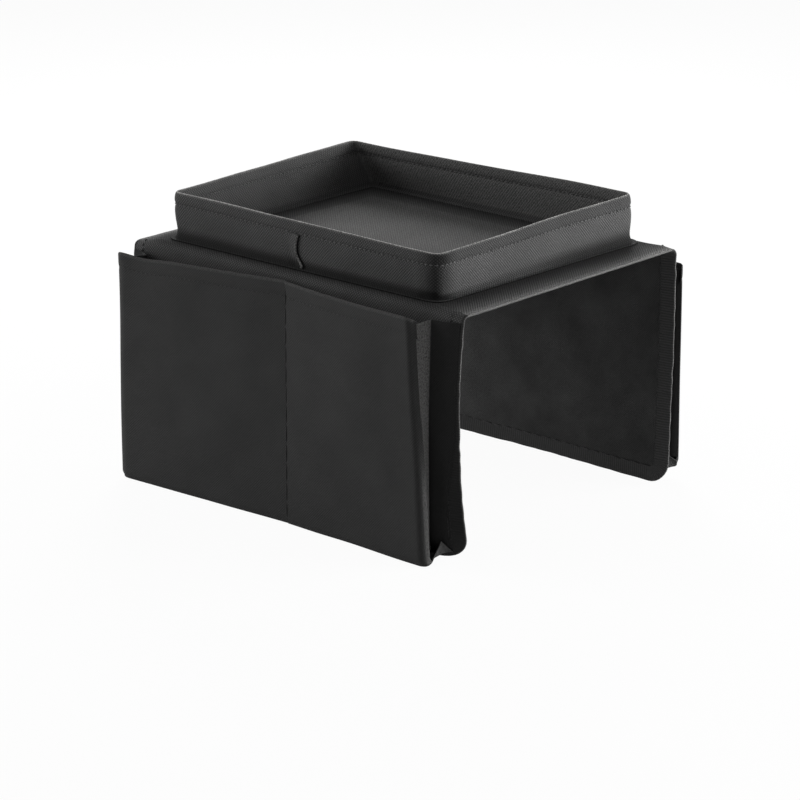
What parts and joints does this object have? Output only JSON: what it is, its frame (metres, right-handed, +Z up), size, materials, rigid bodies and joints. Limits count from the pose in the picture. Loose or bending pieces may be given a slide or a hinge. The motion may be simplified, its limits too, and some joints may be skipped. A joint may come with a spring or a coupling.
{
  "type": "sofa arm tray",
  "caption": "Black cloth tray that sits across a sofa arm, with a walled top, folding side flaps and gusseted pockets for remotes and magazines.",
  "frame": {"origin": "on the floor that the flaps stand on, under the middle of the tray", "axes": "+Z up, X across the sofa arm, Y along the arm; the left flap is at -X and the front end at -Y"},
  "size_m": [0.2666, 0.296, 0.2],
  "materials": {
    "body_cloth": "matte",
    "lining_cloth": "matte",
    "pocket_cloth": "matte",
    "edge_tape": "matte",
    "board": "matte"
  },
  "bodies": {
    "tray": {"deck_cloth": "body_cloth", "tray_band": "body_cloth", "deck_lining": "lining_cloth", "deck_board": "board", "deck_binding_front": "edge_tape", "wall_board_front": "board", "deck_binding_back": "edge_tape", "wall_board_back": "board", "wall_board_left": "board", "hinge_cloth_left": "body_cloth", "hinge_lining_left": "lining_cloth", "hinge_binding_left_front": "edge_tape", "hinge_binding_left_back": "edge_tape", "wall_board_right": "board", "hinge_cloth_right": "body_cloth", "hinge_lining_right": "lining_cloth", "hinge_binding_right_front": "edge_tape", "hinge_binding_right_back": "edge_tape"},
    "flap_left": {"flap_cloth_left": "body_cloth", "flap_lining_left": "lining_cloth", "flap_board_left": "board", "flap_binding_left": "edge_tape", "pocket_seam_left": "pocket_cloth", "pocket_gusset_left_front": "pocket_cloth", "pocket_floor_left_front": "pocket_cloth", "pocket_gusset_left_back": "pocket_cloth", "pocket_floor_left_back": "pocket_cloth"},
    "flap_right": {"flap_cloth_right": "body_cloth", "flap_lining_right": "lining_cloth", "flap_board_right": "board", "flap_binding_right": "edge_tape", "pocket_seam_right": "pocket_cloth", "pocket_gusset_right_front": "pocket_cloth", "pocket_floor_right_front": "pocket_cloth", "pocket_gusset_right_back": "pocket_cloth", "pocket_floor_right_back": "pocket_cloth"},
    "pocket_left_front": {"pocket_panel_left_front": "pocket_cloth"},
    "pocket_left_back": {"pocket_panel_left_back": "pocket_cloth"},
    "pocket_right_front": {"pocket_panel_right_front": "pocket_cloth"},
    "pocket_right_back": {"pocket_panel_right_back": "pocket_cloth"}
  },
  "joints": [
    {"name": "flap_left_fold", "type": "hinge", "parent": "tray", "child": "flap_left", "pos_m": [-0.104, 0, 0.162], "axis": [0, 1, 0], "range_deg": [-35, 90], "deforming": ["hinge_cloth_left", "hinge_lining_left", "hinge_binding_left_front", "hinge_binding_left_back"]},
    {"name": "flap_right_fold", "type": "hinge", "parent": "tray", "child": "flap_right", "pos_m": [0.104, 0, 0.162], "axis": [0, -1, 0], "range_deg": [-35, 90], "deforming": ["hinge_cloth_right", "hinge_lining_right", "hinge_binding_right_front", "hinge_binding_right_back"]},
    {"name": "pocket_left_front_gape", "type": "hinge", "parent": "flap_left", "child": "pocket_left_front", "pos_m": [-0.111, -0.003, 0.08], "axis": [0, 0, -1], "range_deg": [-4, 6], "deforming": ["pocket_gusset_left_front"]},
    {"name": "pocket_left_back_gape", "type": "hinge", "parent": "flap_left", "child": "pocket_left_back", "pos_m": [-0.111, 0.003, 0.08], "axis": [0, 0, 1], "range_deg": [-4, 6], "deforming": ["pocket_gusset_left_back"]},
    {"name": "pocket_right_front_gape", "type": "hinge", "parent": "flap_right", "child": "pocket_right_front", "pos_m": [0.111, -0.003, 0.08], "axis": [0, 0, 1], "range_deg": [-4, 6], "deforming": ["pocket_gusset_right_front"]},
    {"name": "pocket_right_back_gape", "type": "hinge", "parent": "flap_right", "child": "pocket_right_back", "pos_m": [0.111, 0.003, 0.08], "axis": [0, 0, -1], "range_deg": [-4, 6], "deforming": ["pocket_gusset_right_back"]}
  ]
}
